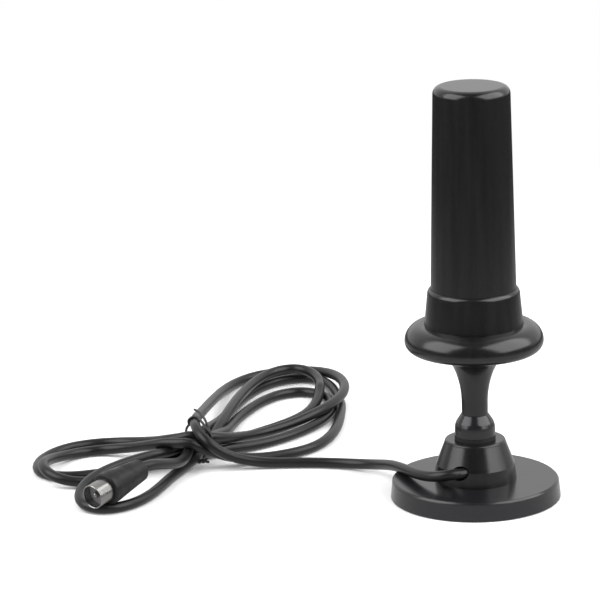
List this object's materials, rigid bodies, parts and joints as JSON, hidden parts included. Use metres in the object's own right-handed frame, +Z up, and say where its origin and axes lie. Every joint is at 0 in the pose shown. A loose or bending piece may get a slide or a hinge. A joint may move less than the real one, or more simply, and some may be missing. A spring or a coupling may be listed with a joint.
{
  "type": "television antenna",
  "caption": "Indoor television antenna: tapered mast on a ring and trumpet stem, conical hub on a round magnetic foot, with a tied lead and aerial plug.",
  "frame": {"origin": "centre of the foot pad's underside, on the surface the antenna stands on", "axes": "+Z up along the mast; the lead leaves the hub towards -Y and lies towards -X"},
  "size_m": [0.2125, 0.2065, 0.1626],
  "materials": {
    "mast_plastic": "satin black moulded",
    "gloss_black": "gloss black moulded",
    "pad_rubber": "matt black",
    "ferrite": "dark grey sintered ferrite",
    "zinc_steel": "zinc plated",
    "white_plastic": "plain moulded",
    "board": "glass-epoxy laminate with solder mask",
    "copper": "etched copper foil",
    "balun_core": "two-hole ferrite core",
    "cord_pvc": "satin black PVC",
    "tie_black": "black coated wire",
    "plug_nickel": "nickel plated",
    "plug_insulation": "black moulded"
  },
  "bodies": {
    "root": {"base_pad": "pad_rubber", "ring_magnet": "ferrite", "weight_plate": "zinc_steel", "base_cover": "gloss_black", "base_screws": "zinc_steel", "hub": "mast_plastic", "hub_washer": "pad_rubber", "collar": "gloss_black", "stem_tube": "zinc_steel", "lower_nut": "zinc_steel", "upper_nut": "zinc_steel", "pedestal": "mast_plastic", "sleeve": "mast_plastic", "board_holder": "white_plastic", "antenna_board": "board", "upper_element": "copper", "lower_element": "copper", "balun": "balun_core", "radome": "mast_plastic", "lead_inner": "cord_pvc", "lead_grip": "zinc_steel", "cord_lead": "cord_pvc", "cord_hank": "cord_pvc", "cord_near_loop": "cord_pvc", "cord_tail": "cord_pvc", "cord_tie": "tie_black", "plug_boot": "plug_insulation", "plug_shell": "plug_nickel", "plug_insulator": "plug_insulation", "plug_pin": "plug_nickel"}
  },
  "joints": []
}
